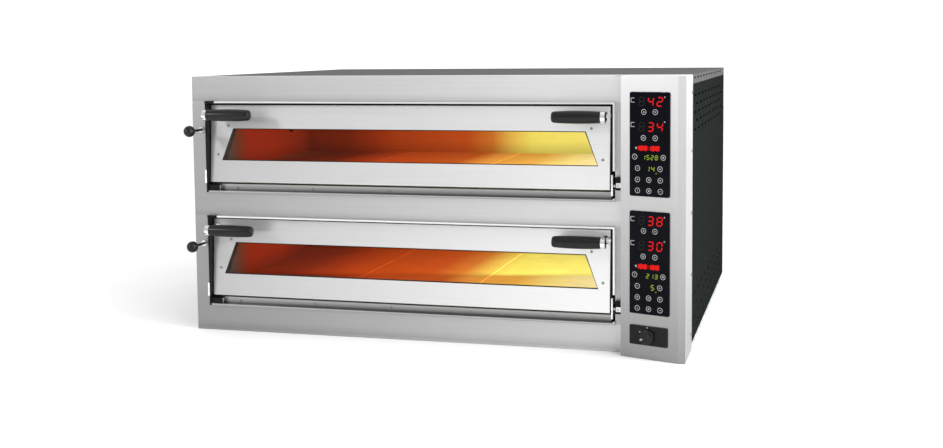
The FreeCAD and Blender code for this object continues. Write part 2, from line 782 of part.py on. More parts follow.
def bracket_nuts():
    """Square nuts that clamp the hinge brackets, each with its hole."""
    nuts = []
    for _, rise in DECKS:
        height = hinge_height(rise) + 5
        x = across("opening_right") + 11.5
        nut = box((x - 6.5, FRONT - 22, height - 6.5), (x + 6.5, FRONT - 16, height + 6.5))
        nuts.append(cut(nut, rod("y", (x, FRONT - 25, height), 3.2, 7)))
    return part("bracket_nuts", group(*nuts))


# ---- Controls -----------------------------------------------------------------------------

def display_glass(deck, low):
    """Glass of a touch display, flat on the wedge."""
    start = D["display_inset"]
    end = start + D["display_width"]
    body = plate("XZ_Plane", -D["glass_proud"], D["glass_proud"],
                 [rectangle(start, low, end, low + D["display_height"])])
    return part(f"{deck}_display_glass", on_wedge(round_edges(body, 5, Vector(0, 1, 0))))


def control_boards():
    """Display boards on standoffs behind each glass."""
    boards = []
    for _, low in display_bottoms():
        start, wide = D["display_inset"] + 2, D["display_width"] - 4
        board = box((start, 14, low + 2), (start + wide, 16, low + D["display_height"] - 2))
        legs = [rod("y", (x, 2.6, height), 2.5, 12)
                for x in (start + 2.5, start + wide - 2.5)
                for height in (low + 5, low + D["display_height"] - 5)]
        chips = [box((start + 15, 16, low + 30 + 70 * number),
                     (start + 60, 24, low + 60 + 70 * number))
                 for number in range(3)]
        boards.append(fuse(board, *legs, *chips))
    return part("control_boards", on_wedge(group(*boards)))


def switch_plate():
    """Black plate below the displays that carries the main switch."""
    start, low = D["plate_inset"], D["plate_bottom"]
    body = plate("XZ_Plane", -D["glass_proud"], D["glass_proud"],
                 [rectangle(start, low, start + D["plate_width"], low + D["plate_height"])],
                 [(D["switch_along"], D["switch_height"], D["spindle_radius"] + 2)])
    return part("switch_plate", on_wedge(round_edges(body, 4, Vector(0, 1, 0))))


def main_switch_body():
    """Rotary switch behind the face, bored for the knob's spindle."""
    x, height = D["switch_along"], D["switch_height"]
    case = box((x - 24, 3, height - 24), (x + 24, 48, height + 24))
    bore = rod("y", (x, -5, height), D["spindle_radius"] + 0.05, 30)
    return part("main_switch_body", on_wedge(cut(case, bore)))


def main_switch_knob():
    """Round knob with a raised grip bar and its spindle."""
    x, height = D["switch_along"], D["switch_height"]
    face = D["glass_proud"] + 0.6
    disc = rod("y", (x, -face - 7, height), D["switch_radius"], 7)
    grip = box((x - 5, -face - 17, height - 18), (x + 5, -face - 7, height + 18))
    spindle = rod("y", (x, -face - 1, height), D["spindle_radius"], face + 20)
    return part("main_switch_knob", on_wedge(fuse(disc, grip, spindle)))


def contactors():
    """Three power contactors on a rail against the compartment wall."""
    x = across("compartment_wall") + SHEET
    rail = box((x, FRONT + 380, 330), (x + 7, FRONT + 640, 365))
    blocks = [box((x + 7, FRONT + 395 + 80 * number, 300),
                  (x + 80, FRONT + 450 + 80 * number, 395))
              for number in range(3)]
    return part("contactors", group(rail, *blocks))


def terminal_block():
    """Supply terminals near the cable entry."""
    x = across("compartment_wall") + SHEET
    base = box((x, REAR - 190, 70), (x + 20, REAR - 60, 120))
    towers = [box((x + 20, REAR - 184 + 24 * number, 78),
                  (x + 45, REAR - 166 + 24 * number, 112))
              for number in range(5)]
    return part("terminal_block", fuse(base, *towers))


def fan_x():
    return LEFT + (D["compartment_wall"] + D["casing_width"]) / 2


def cooling_fan_frame():
    """Square fan housing on the rear panel, with a bearing held by four spokes."""
    x, height, half = fan_x(), D["fan_height"], D["fan_half"]
    rear = REAR - SHEET
    front = rear - D["fan_depth"]
    shell = cut(box((x - half, front, height - half), (x + half, rear, height + half)),
                rod("y", (x, front - 5, height), D["rotor_radius"] + 3, D["fan_depth"] + 10))
    spokes = [box((x - half + 1, front, height - 3), (x + half - 1, front + 4, height + 3)),
              box((x - 3, front, height - half + 1), (x + 3, front + 4, height + half - 1))]
    bearing = rod("y", (x, front, height), 12, 12)
    bore = rod("y", (x, front - 2, height), 3 + 0.05, 30)
    return part("cooling_fan_frame", cut(fuse(shell, *spokes, bearing), bore))


def cooling_fan_rotor():
    """Hub, spindle and seven slanted blades."""
    x, height = fan_x(), D["fan_height"]
    start = REAR - SHEET - D["fan_depth"] + 13
    hub = rod("y", (0, 0, 0), 20, 20)
    spindle = rod("y", (0, -11.5, 0), 3, 20)
    blades = []
    count = 7
    root = 16
    for number in range(count):
        blade = place(box((0, 0, 0), (D["rotor_radius"] - root, 2, 20)), root, 14, -9,
                      turn=Rotation(Vector(1, 0, 0), 32))
        around = Rotation(Vector(0, 1, 0), 360 / count * number)
        blades.append(place(group(blade), turn=around))
    rotor = fuse(hub, spindle, *blades)
    return part("cooling_fan_rotor", place(rotor, x, start, height))


def cable_gland():
    """Gland for the supply cable through the rear panel."""
    x, height = fan_x(), D["gland_height"]
    rear = REAR - SHEET
    body = fuse(rod("y", (x, rear - 14, height), D["gland_radius"] + 2, 18),
                rod("y", (x, rear - 6, height), D["gland_radius"] + 7, 6),
                rod("y", (x, rear + SHEET, height), D["gland_radius"] + 7, 14))
    return part("cable_gland", cut(body, rod("y", (x, rear - 30, height), D["gland_radius"], 80)))


def casing_screws():
    """Pan-head screws in the side flanges of the front frame and the control housing."""
    screws = []
    for side_x in (LEFT - 2, RIGHT):
        for height in (45, 210, 378, 546, 702):
            screws.append(rod("x", (side_x, FRONT + 55, height), 4.5, 2))
    return part("casing_screws", group(*screws))


# ---- Assembly -----------------------------------------------------------------------------

def build():
    front_fascia()
    control_housing()
    base_tray()
    top_cover()
    side_panel("left_side_panel", LEFT)
    side_panel("right_side_panel", RIGHT - SHEET)
    rear_panel()
    frame_posts()
    compartment_wall()
    for deck, rise in DECKS:
        door_surround(deck, rise)
        sill_strip(deck, rise)
        chamber_liner(deck, rise)
        stone_slabs(deck, rise)
        heating_elements(deck, rise)
        flue_duct(deck, rise)
        damper_rod(deck, rise)
        damper_knob(deck, rise)
        door_panel(deck, rise)
        door_liner(deck, rise)
        door_window_frame(deck, rise)
        door_glass(deck, rise)
        door_shaft(deck, rise)
        door_grips(deck, rise)
        door_handle_stems(deck, rise)
        door_screws(deck, rise)
    insulation_decks()
    insulation_walls()
    chamber_lamps()
    thermocouple_probes()
    damper_bushes()
    hinge_brackets()
    bracket_nuts()
    for deck, low in display_bottoms():
        display_glass(deck, low)
    control_boards()
    switch_plate()
    main_switch_body()
    main_switch_knob()
    contactors()
    terminal_block()
    cooling_fan_frame()
    cooling_fan_rotor()
    cable_gland()
    casing_screws()


def check():
    for thing in doc.Objects:
        if {"Invalid", "Error"} & set(thing.State):
            raise RuntimeError(f"{thing.Label} did not compute")
    for piece in PARTS:
        if piece.Shape.isNull() or not piece.Shape.isValid() or not piece.Shape.Solids:
            raise RuntimeError(f"{piece.Label} has no valid solid")


build()
doc.recompute()
check()
os.makedirs("parts", exist_ok=True)
for piece in PARTS:
    piece.Shape.exportStep(f"parts/{piece.Label}.step")
print(len(PARTS), "parts written")
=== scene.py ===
import json
import math
import bmesh
import bpy
from mathutils import Matrix, Vector


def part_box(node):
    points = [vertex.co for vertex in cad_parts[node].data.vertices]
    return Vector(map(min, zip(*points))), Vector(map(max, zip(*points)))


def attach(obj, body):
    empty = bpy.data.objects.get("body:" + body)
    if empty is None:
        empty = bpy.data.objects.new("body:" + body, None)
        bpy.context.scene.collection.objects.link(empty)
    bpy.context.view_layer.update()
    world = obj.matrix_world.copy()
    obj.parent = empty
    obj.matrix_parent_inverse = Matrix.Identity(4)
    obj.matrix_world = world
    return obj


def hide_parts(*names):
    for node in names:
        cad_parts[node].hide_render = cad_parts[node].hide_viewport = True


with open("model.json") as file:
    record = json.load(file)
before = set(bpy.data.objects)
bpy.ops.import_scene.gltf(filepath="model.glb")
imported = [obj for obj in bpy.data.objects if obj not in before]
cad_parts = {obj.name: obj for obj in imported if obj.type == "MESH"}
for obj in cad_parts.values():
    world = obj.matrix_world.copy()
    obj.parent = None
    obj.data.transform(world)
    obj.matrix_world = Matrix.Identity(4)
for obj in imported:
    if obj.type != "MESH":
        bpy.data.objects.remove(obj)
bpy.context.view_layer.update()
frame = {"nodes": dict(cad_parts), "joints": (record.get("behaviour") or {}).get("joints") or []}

MM = 0.001
DECKS = ("lower", "upper")
JOINTS = {joint["name"]: joint for joint in frame["joints"]}

# Height and half width of the casing, in metres.
OVEN_TOP = 0.75
OVEN_HALF = 0.725


def corners_of(node):
    """The low and high corners of a CAD node's box."""
    low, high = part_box(node)
    return Vector(low), Vector(high)


RIM_LOW, RIM_HIGH = corners_of("lower_door_surround")
SLABS_LOW, SLABS_HIGH = corners_of("upper_stone_slabs")
SLAB_TOP = corners_of("lower_stone_slabs")[1].z
DOOR_LOW = corners_of("upper_door_panel")[0]
DECK_PITCH = DOOR_LOW.z - corners_of("lower_door_panel")[0].z


# ---- Node helpers -------------------------------------------------------------------------

# The middle range of a noise, which its colours and levels are spread over.
NOISE_LOW, NOISE_HIGH = 0.3, 0.7


def new_material(name):
    """An empty node material with its output and a Principled shader."""
    material = bpy.data.materials.new(name)
    material.use_nodes = True
    tree = material.node_tree
    tree.nodes.clear()
    output = tree.nodes.new("ShaderNodeOutputMaterial")
    shader = tree.nodes.new("ShaderNodeBsdfPrincipled")
    tree.links.new(shader.outputs[0], output.inputs["Surface"])
    return material, tree, shader


def feed(tree, socket, value):
    """Link a socket to another one, or set it to a constant."""
    if isinstance(value, bpy.types.NodeSocket):
        tree.links.new(value, socket)
    else:
        socket.default_value = value


def object_place(tree):
    """The object's own x, y and z, in metres."""
    where = tree.nodes.new("ShaderNodeTexCoord")
    split = tree.nodes.new("ShaderNodeSeparateXYZ")
    tree.links.new(where.outputs["Object"], split.inputs[0])
    return tuple(split.outputs)


def stretched_noise(tree, scale, detail=4.0):
    """Noise in the object's own coordinates, stretched by a scale for each axis."""
    where = tree.nodes.new("ShaderNodeTexCoord")
    mapping = tree.nodes.new("ShaderNodeMapping")
    mapping.inputs["Scale"].default_value = scale
    noise = tree.nodes.new("ShaderNodeTexNoise")
    noise.inputs["Scale"].default_value = 1.0
    noise.inputs["Detail"].default_value = detail
    noise.inputs["Roughness"].default_value = 0.6
    tree.links.new(where.outputs["Object"], mapping.inputs["Vector"])
    tree.links.new(mapping.outputs[0], noise.inputs["Vector"])
    return noise.outputs["Fac"]


def ranged(tree, source, low, high, start=NOISE_LOW, end=NOISE_HIGH):
    """The source's stretch from start to end, spread from low to high."""
    node = tree.nodes.new("ShaderNodeMapRange")
    node.inputs["From Min"].default_value = start
    node.inputs["From Max"].default_value = end
    node.inputs["To Min"].default_value = low
    node.inputs["To Max"].default_value = high
    tree.links.new(source, node.inputs["Value"])
    return node.outputs[0]


def colour_ramp(tree, source, stops):
    """A run of colours, given as (place, colour), that the source picks from."""
    ramp = tree.nodes.new("ShaderNodeValToRGB")
    elements = ramp.color_ramp.elements
    while len(elements) > 1:
        elements.remove(elements[-1])
    for number, (position, colour) in enumerate(stops):
        element = elements[0] if number == 0 else elements.new(position)
        element.position = position
        element.color = (*colour, 1)
    tree.links.new(source, ramp.inputs[0])
    return ramp.outputs[0]


def shade(tree, noise, dark, light):
    """A colour between dark and light, chosen by a noise."""
    return colour_ramp(tree, noise, ((NOISE_LOW, dark), (NOISE_HIGH, light)))


def mixed(tree, factor, first, second):
    """The first colour where the factor is 0, the second where it is 1."""
    mix = tree.nodes.new("ShaderNodeMix")
    mix.data_type = "RGBA"
    feed(tree, mix.inputs[0], factor)
    feed(tree, mix.inputs[6], first)
    feed(tree, mix.inputs[7], second)
    return mix.outputs[2]


def maths(tree, operation, first, second=0.0):
    node = tree.nodes.new("ShaderNodeMath")
    node.operation = operation
    feed(tree, node.inputs[0], first)
    feed(tree, node.inputs[1], second)
    return node.outputs[0]


def times(tree, *factors):
    """The product of two or more sockets."""
    product = factors[0]
    for factor in factors[1:]:
        product = maths(tree, "MULTIPLY", product, factor)
    return product


def scaled(tree, colour, factor):
    node = tree.nodes.new("ShaderNodeVectorMath")
    node.operation = "SCALE"
    tree.links.new(colour, node.inputs[0])
    tree.links.new(factor, node.inputs["Scale"])
    return node.outputs[0]


def add_bump(tree, shader, source, height):
    """Relief that rises by a height in metres where the source is high."""
    bump = tree.nodes.new("ShaderNodeBump")
    bump.inputs["Strength"].default_value = 0.4
    bump.inputs["Distance"].default_value = height
    tree.links.new(source, bump.inputs["Height"])
    tree.links.new(bump.outputs[0], shader.inputs["Normal"])


def deck_height(tree, z, above):
    """Height above a level of the lower deck, repeated for the upper deck."""
    return maths(tree, "FLOORED_MODULO", maths(tree, "SUBTRACT", z, above), DECK_PITCH)


def grey(value):
    return (value, value, value)


def even(scale):
    """A noise scale that is the same along every axis."""
    return (scale, scale, scale)


def dimmed(colour, level):
    return tuple(level * channel for channel in colour)


# ---- Materials ----------------------------------------------------------------------------

def finish_material(name, dark, light, rough, scale, metal=0.0, bump=0.0, spec=0.5):
    """The usual surface: colour, roughness and relief all follow one stretched noise."""
    material, tree, shader = new_material(name)
    noise = stretched_noise(tree, scale)
    tree.links.new(shade(tree, noise, dark, light), shader.inputs["Base Color"])
    tree.links.new(ranged(tree, noise, rough[0], rough[1]), shader.inputs["Roughness"])
    shader.inputs["Metallic"].default_value = metal
    shader.inputs["Specular IOR Level"].default_value = spec
    if bump:
        add_bump(tree, shader, noise, bump)
    return material


# Noise scales for brushed grain, low along the grain.
FRONT_GRAIN, DOOR_GRAIN, RIM_GRAIN = (3, 500, 500), (3, 600, 600), (3, 400, 400)
UPRIGHT_GRAIN = (500, 500, 3)
STEEL_RELIEF = 0.02 * MM
# Painted shade: how tall it is over the rims, and its levels over the rims, beside their right uprights
# and in the door's side gap.
RIM_SHADE_TALL = 22 * MM
RIM_SHADE_LEVEL, UPRIGHT_LEVEL, GAP_LEVEL = 0.84, 0.74, 0.02


def rim_shade(tree, x, z):
    """Soft shade over the rims, and between their right uprights and the control housing."""
    height = deck_height(tree, z, RIM_HIGH.z)
    over = ranged(tree, height, RIM_SHADE_LEVEL, 1.0, 0.0, RIM_SHADE_TALL)
    right = ranged(tree, x, 1.0, UPRIGHT_LEVEL, RIM_HIGH.x - 2 * MM, RIM_HIGH.x + 3 * MM)
    beside = maths(tree, "GREATER_THAN", height, DECK_PITCH - (RIM_HIGH.z - RIM_LOW.z))
    loss = times(tree, maths(tree, "SUBTRACT", right, 1.0), beside)
    return times(tree, over, maths(tree, "ADD", loss, 1.0))


def side_shade(tree):
    """Painted shade: black on faces that look to the right, where a door's end lies in a narrow gap."""
    geometry = tree.nodes.new("ShaderNodeNewGeometry")
    facing = tree.nodes.new("ShaderNodeSeparateXYZ")
    tree.links.new(geometry.outputs["True Normal"], facing.inputs[0])
    return ranged(tree, facing.outputs[0], 1.0, GAP_LEVEL, 0.5, 0.6)


def brushed(name, grain, low, high, rough, metal=0.8, painted_foot_shade=(1.0, 1.0), painted_left_shade=(1.0, 1.0),
            painted_gap_shade=False, near_rims=False):
    """Brushed steel, with painted shade that darkens it towards its foot and towards its left end."""
    material, tree, shader = new_material(name)
    x, _, z = object_place(tree)
    noise = stretched_noise(tree, grain)
    # Painted shade: darker towards the foot, and towards the left end.
    rise = ranged(tree, z, painted_foot_shade[0], painted_foot_shade[1], 0.0, OVEN_TOP)
    along = ranged(tree, x, painted_left_shade[0], painted_left_shade[1], -OVEN_HALF, OVEN_HALF)
    factor = times(tree, rise, along)
    # Painted shade over the rims and beside their right uprights.
    if near_rims:
        factor = times(tree, factor, rim_shade(tree, x, z))
    # Painted shade of the narrow gap at the door's right end.
    if painted_gap_shade:
        factor = times(tree, factor, side_shade(tree))
    steel = scaled(tree, shade(tree, noise, grey(low), grey(high)), factor)
    tree.links.new(steel, shader.inputs["Base Color"])
    tree.links.new(ranged(tree, noise, rough[0], rough[1]), shader.inputs["Roughness"])
    shader.inputs["Metallic"].default_value = metal
    add_bump(tree, shader, noise, STEEL_RELIEF)
    return material


def part_black(name, edge, low, high, foot, foot_tall, foot_level):
    """Steel that is black to the left of an edge and shaded up to foot_tall above its foot."""
    material, tree, shader = new_material(name)
    x, _, z = object_place(tree)
    bare = maths(tree, "GREATER_THAN", x, edge)
    noise = stretched_noise(tree, RIM_GRAIN)
    rise = ranged(tree, deck_height(tree, z, foot), foot_level, 1.0, 0.0, foot_tall)
    steel = scaled(tree, shade(tree, noise, grey(low), grey(high)), rise)
    tree.links.new(mixed(tree, bare, (*grey(0.004), 1), steel), shader.inputs["Base Color"])
    tree.links.new(bare, shader.inputs["Metallic"])
    tree.links.new(ranged(tree, noise, 0.28, 0.36), shader.inputs["Roughness"])
    shader.inputs["Specular IOR Level"].default_value = 0.15
    return material


# Painted light along the chamber, dark at its left end and bright at its right, as (place, colour).
WALL_GLOW = (
    (0.00, (0.105, 0.009, 0.002)),
    (0.13, (0.145, 0.014, 0.003)),
    (0.21, (0.260, 0.024, 0.004)),
    (0.28, (0.360, 0.040, 0.004)),
    (0.50, (0.480, 0.065, 0.007)),
    (0.58, (0.590, 0.160, 0.020)),
    (0.65, (0.820, 0.520, 0.080)),
    (0.70, (0.910, 0.730, 0.120)),
    (1.00, (0.920, 0.800, 0.180)),
)
FLOOR_GLOW = (
    (0.00, (0.110, 0.014, 0.004)),
    (0.10, (0.080, 0.010, 0.003)),
    (0.20, (0.120, 0.014, 0.004)),
    (0.29, (0.300, 0.030, 0.005)),
    (0.36, (0.420, 0.050, 0.007)),
    (0.56, (0.490, 0.080, 0.009)),
    (0.63, (0.740, 0.280, 0.040)),
    (0.76, (0.820, 0.400, 0.060)),
    (0.85, (0.950, 0.700, 0.200)),
    (1.00, (1.000, 0.850, 0.450)),
)
# Painted light on the left wall by itself, from the mouth to the back.
SIDE_GLOW = (
    (0.04, (0.070, 0.055, 0.045)),
    (0.14, (0.150, 0.030, 0.012)),
    (0.24, (0.270, 0.019, 0.005)),
    (0.60, (0.260, 0.018, 0.004)),
    (0.90, (0.170, 0.014, 0.003)),
    (1.00, (0.105, 0.009, 0.002)),
)


# The slanted band of painted light at the rear of the lower slabs, as shares of their depth: where it
# starts at the left end, how far back it moves along the slabs, and how long it takes to brighten.
BAND_START, BAND_SLANT, BAND_SOFT, BAND_RISE = 0.138, 0.33, 0.004, 0.08

SLAB_COUNT = 3
# Painted light: how much the slab joints brighten and over what reach, the scales and spread of its
# blotches, and the painted shade at the walls' foot.
JOINT_BRIGHT, JOINT_NEAR, JOINT_FAR = 1.5, 0.0015, 0.0035
SLAB_BLOTCHES, WALL_BLOTCHES, BLOTCH_SPREAD = (14, 14, 40), (5, 5, 9), 0.07
WALL_FOOT_LEVEL, WALL_FOOT_TALL = 0.66, 40 * MM


def slab_power(tree, along, deep):
    """Painted light: the floor is brighter at the mouth than at the back, and the joints between slabs
    glow.
    """
    depth_power = ranged(tree, deep, 1.35, 0.80, 0.0, 1.0)
    half = 1 / (2 * SLAB_COUNT)
    third = maths(tree, "FLOORED_MODULO", maths(tree, "ADD", along, half), 1 / SLAB_COUNT)
    from_joint = maths(tree, "ABSOLUTE", maths(tree, "SUBTRACT", third, half))
    return times(tree, depth_power, ranged(tree, from_joint, JOINT_BRIGHT, 1.0, JOINT_NEAR, JOINT_FAR))


def inside_chamber(tree, x, y):
    """1 within the chamber's walls and mouth, 0 on the flanges and outside the walls."""
    wall = 3 * MM
    return times(tree,
                 maths(tree, "GREATER_THAN", y, SLABS_LOW.y - 1.5 * MM),
                 maths(tree, "GREATER_THAN", x, SLABS_LOW.x - wall),
                 maths(tree, "LESS_THAN", x, SLABS_HIGH.x + wall))


def painted_glow(name, stops, base, strength, stone=False, rear_band=False):
    """Painted light on a chamber surface: its glow runs along the chamber, with soft blotches over it."""
    material, tree, shader = new_material(name)
    x, y, z = object_place(tree)
    along = ranged(tree, x, 0.0, 1.0, SLABS_LOW.x, SLABS_HIGH.x)
    deep = ranged(tree, y, 0.0, 1.0, SLABS_LOW.y, SLABS_HIGH.y)
    glow = colour_ramp(tree, along, stops)
    blotch = stretched_noise(tree, SLAB_BLOTCHES if stone else WALL_BLOTCHES, detail=5.0)
    power = ranged(tree, blotch, strength * (1 - BLOTCH_SPREAD), strength * (1 + BLOTCH_SPREAD))
    if stone:
        power = times(tree, power, slab_power(tree, along, deep))
        add_bump(tree, shader, stretched_noise(tree, even(900)), 0.4 * MM)
    else:
        # The left wall has its own run of painted light, and painted shade makes every wall dimmer at its
        # foot.
        right_of_it = maths(tree, "GREATER_THAN", x, SLABS_LOW.x + 0.5 * MM)
        glow = mixed(tree, right_of_it, colour_ramp(tree, deep, SIDE_GLOW), glow)
        foot = ranged(tree, deck_height(tree, z, SLAB_TOP), WALL_FOOT_LEVEL, 1.0, 0.0, WALL_FOOT_TALL)
        power = times(tree, power, foot)
    if rear_band:
        # Painted light: the rear of the slabs carries the colour of the wall behind them.
        past = maths(tree, "SUBTRACT", deep, maths(tree, "MULTIPLY", along, BAND_SLANT))
        in_band = ranged(tree, past, 0.0, 1.0, BAND_START - BAND_SOFT, BAND_START + BAND_SOFT)
        glow = mixed(tree, in_band, glow, colour_ramp(tree, along, WALL_GLOW))
        power = times(tree, power, ranged(tree, past, 0.80, 1.15, BAND_START, BAND_START + BAND_RISE))
    tree.links.new(glow, shader.inputs["Emission Color"])
    tree.links.new(times(tree, power, inside_chamber(tree, x, y)), shader.inputs["Emission Strength"])
    tree.links.new(shade(tree, blotch, dimmed(base, 0.7), base), shader.inputs["Base Color"])
    shader.inputs["Roughness"].default_value = 0.8
    shader.inputs["Specular IOR Level"].default_value = 0.05
    return material


def glass_material():
    """Clear pane: mostly seen through, with sharp faint reflections and slight smears."""
    material, tree, shader = new_material("door_pane")
    noise = stretched_noise(tree, (6, 6, 3))
    tree.links.new(shade(tree, noise, grey(0.03), grey(0.05)), shader.inputs["Base Color"])
    tree.links.new(ranged(tree, noise, 0.02, 0.06), shader.inputs["Roughness"])
    tree.links.new(ranged(tree, noise, 0.02, 0.03), shader.inputs["Alpha"])
    shader.inputs["IOR"].default_value = 1.45
    return material


def lit(name, colour, strength):
    """A light-emitting print, a little uneven, as diodes behind a diffuser are."""
    material, tree, shader = new_material(name)
    noise = stretched_noise(tree, even(300))
    base = shade(tree, noise, dimmed(colour, 0.05), dimmed(colour, 0.1))
    light = shade(tree, noise, dimmed(colour, 0.85), colour)
    tree.links.new(base, shader.inputs["Base Color"])
    tree.links.new(light, shader.inputs["Emission Color"])
    shader.inputs["Emission Strength"].default_value = strength
    shader.inputs["Specular IOR Level"].default_value = 0.05
    shader.inputs["Roughness"].default_value = 0.4
    return material


MATERIALS = {
    # The stainless parts are all one steel. Their levels, set apart part by part, are painted light and
    # shade: the doors and rims lighter, the sills darker in their recess.
    "front": brushed("front_steel", FRONT_GRAIN, low=0.54, high=0.58, rough=(0.36, 0.44),
                     painted_foot_shade=(0.76, 1.00), painted_left_shade=(0.62, 1.34), near_rims=True),
    "door": brushed("door_steel", DOOR_GRAIN, low=0.64, high=0.68, rough=(0.30, 0.38),
                    painted_left_shade=(0.68, 1.38), painted_gap_shade=True),
    "housing": brushed("housing_steel", UPRIGHT_GRAIN, low=0.63, high=0.67, rough=(0.32, 0.40),
                       painted_foot_shade=(0.40, 0.98)),
    # A lighter copy of the steel: a painted highlight on the hinge leaf and arm.
    "bright": brushed("highlight_steel", even(60), low=0.84, high=0.90, rough=(0.25, 0.32), metal=0.7),
    "tray": brushed("tray_steel", FRONT_GRAIN, low=0.62, high=0.70, rough=(0.30, 0.38)),
    # Painted shade darkens the rim at its foot.
    "rim": part_black("rim_steel", edge=DOOR_LOW.x - 1 * MM, low=0.70, high=0.78,
                      foot=74 * MM, foot_tall=12 * MM, foot_level=0.30),
    # Painted shade: the sill steel is set darker for its recess, and darker still at its foot.
    "sill": part_black("sill_steel", edge=DOOR_LOW.x + 33 * MM, low=0.34, high=0.40,
                       foot=80 * MM, foot_tall=19 * MM, foot_level=0.25),
    "paint": finish_material("casing_paint", (0.010, 0.012, 0.011), (0.014, 0.016, 0.015),
                             rough=(0.6, 0.7), scale=even(700), bump=0.1 * MM, spec=0.0),
    # The casing's dark paint set lighter on the top: painted light, for the light that the top reflects.
    "cover": finish_material("cover_paint", grey(0.070), grey(0.085),
                             rough=(0.6, 0.7), scale=even(700), bump=0.1 * MM, spec=0.05),
    "zinc": finish_material("inner_zinc", grey(0.35), grey(0.55),
                            rough=(0.35, 0.5), scale=even(25), metal=1.0),
    "liner": painted_glow("liner_glow", WALL_GLOW, base=(0.012, 0.007, 0.005), strength=1.0),
    "upper_stone": painted_glow("upper_slab_glow", FLOOR_GLOW, base=(0.02, 0.013, 0.009), strength=1.0,
                           stone=True),
    "lower_stone": painted_glow("lower_slab_glow", FLOOR_GLOW, base=(0.02, 0.013, 0.009), strength=1.0,
                           stone=True, rear_band=True),
    # The heating elements and the probes take the walls' painted light too.
    "heater": painted_glow("heater_painted_glow", WALL_GLOW, base=(0.02, 0.014, 0.01), strength=1.2),
    "wool": finish_material("mineral_wool", (0.30, 0.26, 0.14), (0.62, 0.56, 0.38),
                            rough=(0.9, 1.0), scale=(60, 60, 300), bump=2 * MM),
    "window_frame": finish_material("window_channel", grey(0.05), grey(0.10),
                                    rough=(0.45, 0.6), scale=even(80), metal=0.4, bump=0.1 * MM),
    "door_liner": finish_material("door_liner_steel", (0.26, 0.22, 0.18), (0.48, 0.43, 0.38),
                                  rough=(0.32, 0.5), scale=(9, 30, 30), metal=1.0, bump=0.1 * MM),
    "pane": glass_material(),
    "display": finish_material("display_glass", (0.002, 0.002, 0.004), (0.003, 0.003, 0.006),
                               rough=(0.05, 0.09), scale=even(20), spec=0.05),
    "black_plastic": finish_material("black_plastic", grey(0.002), grey(0.004),
                                     rough=(0.26, 0.36), scale=even(900), bump=0.08 * MM, spec=0.30),
    "plate_plastic": finish_material("plate_plastic", grey(0.006), grey(0.009),
                                     rough=(0.28, 0.38), scale=even(900), bump=0.05 * MM, spec=0.15),
    "chrome": finish_material("chrome", grey(0.78), grey(0.85),
                              rough=(0.05, 0.10), scale=even(60), metal=1.0),
    "turned": finish_material("turned_steel", grey(0.55), grey(0.68),
                              rough=(0.2, 0.3), scale=(400, 20, 20), metal=1.0, bump=0.03 * MM),
    # Black paint, also used as painted shade along the doors' right ends.
    "bracket": finish_material("black_paint_and_gap_shade", grey(0.003), grey(0.005),
                               rough=(0.35, 0.5), scale=even(500), bump=0.1 * MM, spec=0.15),
    "screw": finish_material("screw_steel", grey(0.22), grey(0.34),
                             rough=(0.25, 0.4), scale=even(300), metal=1.0),
    "lamp": lit("lamp_lens", (1.0, 0.85, 0.55), strength=4.0),
    "board": finish_material("circuit_board", (0.01, 0.07, 0.02), (0.02, 0.14, 0.04),
                             rough=(0.3, 0.4), scale=even(120)),
    "electric": finish_material("electric_plastic", grey(0.03), grey(0.05),
                                rough=(0.4, 0.55), scale=even(200), bump=0.1 * MM),
    "red": lit("red_digits", (1.0, 0.014, 0.012), strength=0.75),
    "green": lit("green_digits", (0.42, 0.66, 0.06), strength=0.62),
    "unlit": finish_material("unlit_digits", grey(0.010), grey(0.014),
                             rough=(0.3, 0.4), scale=even(200), spec=0.05),
    "print": finish_material("white_print", grey(0.32), grey(0.42),
                             rough=(0.4, 0.5), scale=even(500)),
}

# Which surface each CAD node takes.
NODE_SURFACES = {
    "front": ["front_fascia"],
    "housing": ["control_housing"],
    "tray": ["base_tray"],
    "paint": ["left_side_panel", "right_side_panel", "rear_panel"],
    "cover": ["top_cover"],
    "zinc": ["frame_posts", "compartment_wall", "*_flue_duct"],
    "rim": ["*_door_surround"],
    "sill": ["*_sill_strip"],
    "door": ["*_door_panel"],
    "door_liner": ["*_door_liner"],
    "window_frame": ["*_door_window_frame"],
    "pane": ["*_door_glass"],
    "liner": ["*_chamber_liner"],
    "upper_stone": ["upper_stone_slabs"],
    "lower_stone": ["lower_stone_slabs"],
    "heater": ["*_heating_elements", "thermocouple_probes"],
    "wool": ["insulation_decks", "insulation_walls"],
    "chrome": ["*_door_handle_stems"],
    "turned": ["*_door_shaft", "bracket_nuts", "damper_bushes"],
    "bracket": ["hinge_brackets", "*_damper_rod"],
    "screw": ["casing_screws", "*_door_screws"],
    "lamp": ["chamber_lamps"],
    "board": ["control_boards"],
    "electric": ["main_switch_body", "contactors", "terminal_block", "cooling_fan_frame",
                 "cooling_fan_rotor", "cable_gland"],
    "display": ["*_display_glass"],
    "plate_plastic": ["switch_plate"],
    "black_plastic": ["main_switch_knob", "*_door_grips", "*_damper_knob"],
}


def dress_nodes():
    """Give every CAD node its procedural surface."""
    for surface, patterns in NODE_SURFACES.items():
        for pattern in patterns:
            names = [pattern.replace("*", deck) for deck in DECKS] if "*" in pattern else [pattern]
            for name in names:
                node = frame["nodes"][name]
                node.data.materials.clear()
                node.data.materials.append(MATERIALS[surface])


# ---- Mesh helpers -------------------------------------------------------------------------

